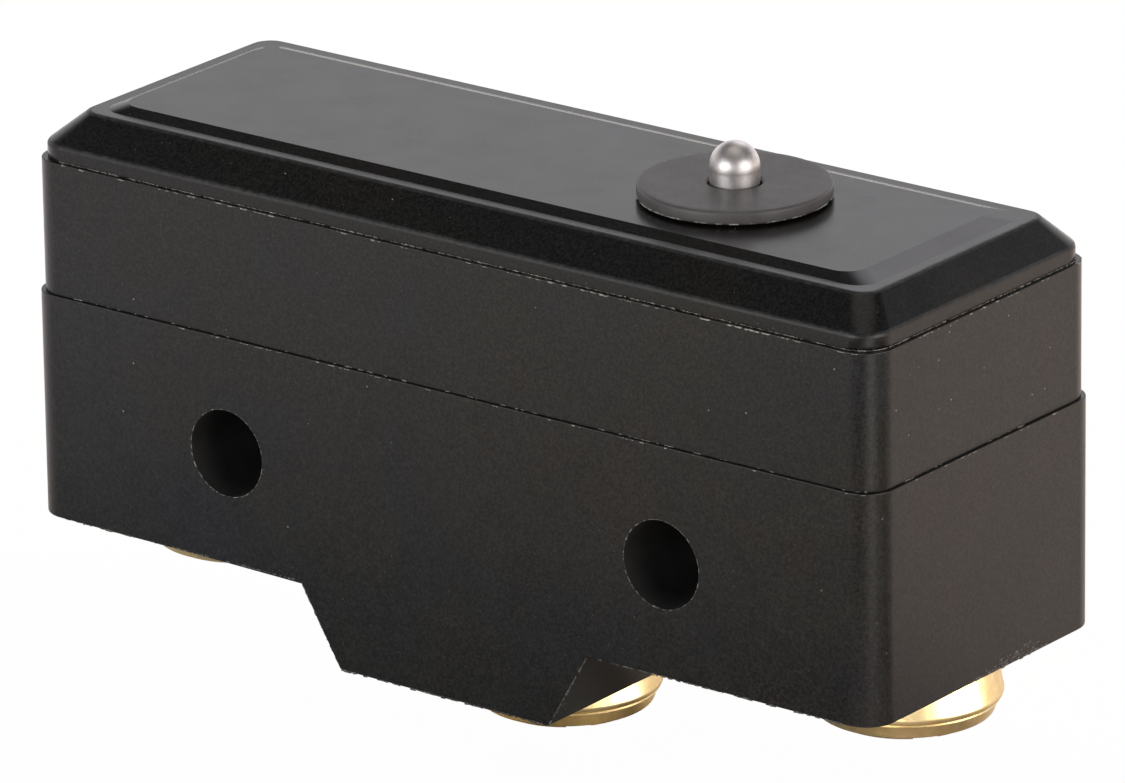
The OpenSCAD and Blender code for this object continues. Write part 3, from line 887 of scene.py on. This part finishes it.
def make_pin(materials):
    """Turned pin with a domed end and faint tool rings round its upright side."""
    bottom, top = heights("pin_plunger")
    radius = width("pin_plunger") / 2
    shoulder = top - radius
    ring_pitch = 0.11
    ring_depth = 0.008
    chamfer = 0.12
    profile = [(0, bottom), (radius - chamfer, bottom), (radius, bottom + chamfer)]
    rings = int((shoulder - bottom - chamfer) / ring_pitch)
    for ring in range(1, rings):
        profile += [
            (radius - ring_depth, bottom + chamfer + ring_pitch * (ring - 0.5)),
            (radius, bottom + chamfer + ring_pitch * ring),
        ]
    profile += arc((0, shoulder), radius, 0, 90, 20)[:-1]
    profile += [(0, top)]
    mesh = lathe("pin_plunger", axis_of("pin_plunger"), profile)
    piece = add_piece(
        "pin_plunger_turned", mesh, [materials["stainless"]], "plunger", ["pin_plunger"]
    )
    smooth(piece)


def make_guide(materials):
    """Bushing with a round flange that lies on the cover."""
    low, top = heights("plunger_guide")
    flange = width("plunger_guide") / 2
    flange_bottom = heights("guide_gasket")[1] + 0.01
    sleeve = 2.2
    bore = 1.25
    edge = 0.16
    profile = [(bore, low), (sleeve, low), (sleeve, flange_bottom)]
    profile += [(flange - edge, flange_bottom)]
    profile += arc((flange - edge, flange_bottom + edge), edge, -90, 0, 4)[1:]
    profile += arc((flange - edge, top - edge), edge, 0, 90, 4)
    profile += [(flange - 0.5, top), (bore + 0.1, top), (bore, top - 0.1)]
    mesh = lathe("plunger_guide", axis_of("plunger_guide"), profile, 160)
    piece = add_piece(
        "plunger_guide_moulding", mesh, [materials["guide_plastic"]], "housing",
        ["plunger_guide"],
    )
    smooth(piece)
    draw = random.Random(SEED)
    add_flash("guide_flash", materials["flash"], [
        (rim_place(axis_of("plunger_guide") / MM, flange, flange_bottom + 0.07), 0.75, 0.5, 0.04, 0.035),
    ], draw)


def thread_radius(height, share, crest, depth, pitch):
    """Radius of a rolled thread at a height and a share of a turn, in millimetres."""
    turn = (height / pitch - share) % 1
    flank = min(1, max(0, abs(turn - 0.5) * 2.6 - 0.15))
    return crest - depth * flank


def make_screw(name, slot_angle, materials):
    """Binding-head screw with a rolled thread and a milled slot, under its cup washer. A profile
    point with no radius of its own is on the thread."""
    node = name + "_screw"
    bottom, top = heights(node)
    head_height = 1.1
    head_top = bottom + head_height
    head_radius = width(node) / 2
    crest = 2.0
    pitch = 0.7
    depth = 0.36
    segments = 48
    row = pitch / 8
    axis = axis_of(node)
    profile = [(0, bottom)]
    profile += [(head_radius * share, bottom + 0.1 * share ** 3) for share in (0.3, 0.6, 0.8)]
    profile += arc((head_radius - 0.28, bottom + 0.38), 0.28, -75, 0, 6)
    profile += arc((head_radius - 0.18, head_top - 0.18), 0.18, 0, 90, 3)
    profile += [(crest - depth, head_top)]
    rows = int((top - head_top - 0.6) / row)
    profile += [(None, head_top + 0.15 + row * step) for step in range(rows)]
    profile += [(crest - depth, top - 0.35), (crest - depth - 0.3, top), (0, top)]
    shape = bmesh.new()
    rings = []
    for radius, height in profile:
        if radius == 0:
            rings.append([shape.verts.new(axis + Vector((0, 0, height * MM)))])
            continue
        ring = []
        for step in range(segments):
            angle = 2 * math.pi * step / segments
            reach = radius
            if radius is None:
                reach = thread_radius(height, step / segments, crest, depth, pitch)
            ring.append(shape.verts.new(axis + Vector((
                math.cos(angle) * reach * MM, math.sin(angle) * reach * MM, height * MM
            ))))
        rings.append(ring)
    for lower, upper in zip(rings, rings[1:]):
        join_rings(shape, lower, upper)
    bmesh.ops.recalc_face_normals(shape, faces=shape.faces)
    mesh = bpy.data.meshes.new(node)
    shape.to_mesh(mesh)
    shape.free()
    piece = add_piece(
        node + "_threaded", mesh, [materials["screw_brass"]], name + "_terminal_screw",
        [node],
    )
    cut_slot(piece, axis + Vector((0, 0, bottom * MM)), head_radius, slot_angle)
    smooth(piece, 35)
    return piece


def cut_slot(piece, place, head_radius, slot_angle):
    """Mills the screwdriver slot across the head with an exact cut."""
    slot_width = 1.2
    slot_depth = 0.65
    block = bmesh.new()
    bmesh.ops.create_cube(block, size=1)
    size = Vector((2 * head_radius + 2, slot_width, 2 * slot_depth)) * MM
    bmesh.ops.scale(block, vec=size, verts=block.verts)
    spin = Matrix.Rotation(math.radians(slot_angle), 4, "Z")
    bmesh.ops.transform(block, matrix=Matrix.Translation(place) @ spin, verts=block.verts)
    mesh = bpy.data.meshes.new("slot_cutter")
    block.to_mesh(mesh)
    block.free()
    cutter = bpy.data.objects.new("slot_cutter", mesh)
    bpy.context.scene.collection.objects.link(cutter)
    apply_cut(piece, cutter)


def apply_cut(piece, cutter):
    """Takes the cutter out of the piece at once, so that the finished mesh holds the cut."""
    cut = piece.modifiers.new("cut", "BOOLEAN")
    cut.operation = "DIFFERENCE"
    cut.solver = "EXACT"
    cut.object = cutter
    bpy.context.view_layer.update()
    evaluated = piece.evaluated_get(bpy.context.evaluated_depsgraph_get())
    result = bpy.data.meshes.new_from_object(evaluated)
    piece.modifiers.remove(cut)
    old = piece.data
    piece.data = result
    bpy.data.meshes.remove(old)
    bpy.data.objects.remove(cutter)


def make_washer(name, materials):
    """Pressed cup washer: flared mouth, rounded belly, a groove and a rim round the screw's head."""
    node = name + "_cup_washer"
    bottom, top = heights(node)
    outer = width(node) / 2
    hole = 2.15
    rim_bore = outer - 0.8
    floor_top = top - 1.25
    floor_bottom = floor_top - 0.5
    profile = [(hole, floor_bottom), (rim_bore - 0.1, floor_bottom), (rim_bore, floor_bottom - 0.1)]
    profile += [(rim_bore, bottom + 0.06), (rim_bore + 0.06, bottom)]
    profile += arc((outer - 0.56, bottom + 0.16), 0.16, -90, -20, 4)
    profile += [(outer - 0.26, bottom + 0.5), (outer - 0.14, bottom + 0.66)]
    profile += [(outer - 0.17, bottom + 0.72), (outer - 0.06, bottom + 0.8)]
    profile += arc((outer - 0.3, bottom + 1.0), 0.3, -15, 30, 5)
    profile += [(outer - 0.17, top - 0.6), (outer - 0.3, top - 0.12)]
    profile += arc((outer - 0.42, top - 0.1), 0.1, 10, 170, 6)
    profile += [(outer - 0.75, top - 0.3), (outer - 0.6, top - 0.9), (outer - 0.65, floor_top + 0.12)]
    profile += [(outer - 0.78, floor_top), (hole, floor_top)]
    mesh = lathe(node, axis_of(node), profile, 128)
    piece = add_piece(
        node + "_pressed", mesh, [materials["screw_brass"]], name + "_clamp", [node]
    )
    smooth(piece)
    return piece


def make_inner_parts(materials):
    """Every other CAD node, with its edges broken."""
    parts = {
        "case_screws": ("plated_steel", 0.06, "housing"),
        "guide_gasket": ("gasket_rubber", 0.02, "housing"),
        "plunger_follower": ("follower_plastic", 0.1, "plunger"),
        "com_insert": ("strap_brass", 0.08, "housing"),
        "no_insert": ("strap_brass", 0.08, "housing"),
        "nc_insert": ("strap_brass", 0.08, "housing"),
        "com_plate": ("strap_brass", 0.06, "housing"),
        "blade_anchor": ("strap_brass", 0.06, "housing"),
        "anchor_pin": ("plated_steel", 0.08, "housing"),
        "pivot_bracket": ("strap_brass", 0.06, "housing"),
        "pivot_rivet": ("plated_steel", 0.08, "housing"),
        "snap_blade": ("spring_copper", 0.03, "blade"),
        "moving_contact": ("contact_silver", 0.1, "blade"),
        "no_strap": ("strap_brass", 0.06, "housing"),
        "no_contact": ("contact_silver", 0.1, "housing"),
        "nc_strap": ("strap_brass", 0.06, "housing"),
        "nc_contact": ("contact_silver", 0.1, "housing"),
    }
    for node, (slot_name, radius, body) in parts.items():
        mesh = rounded_copy(node, radius)
        piece = add_piece(node + "_finished", mesh, [materials[slot_name]], body, [node])
        smooth(piece)


def main():
    bpy.context.scene.view_settings.view_transform = "Standard"
    make_camera()
    materials = make_materials()
    make_housing(materials)
    make_flash(materials)
    make_pin(materials)
    make_guide(materials)
    brass = []
    for name, slot_angle in SLOT_ANGLES.items():
        brass.append(make_screw(name, slot_angle, materials))
        brass.append(make_washer(name, materials))
    make_inner_parts(materials)
    make_lights(make_floor(), brass)


main()
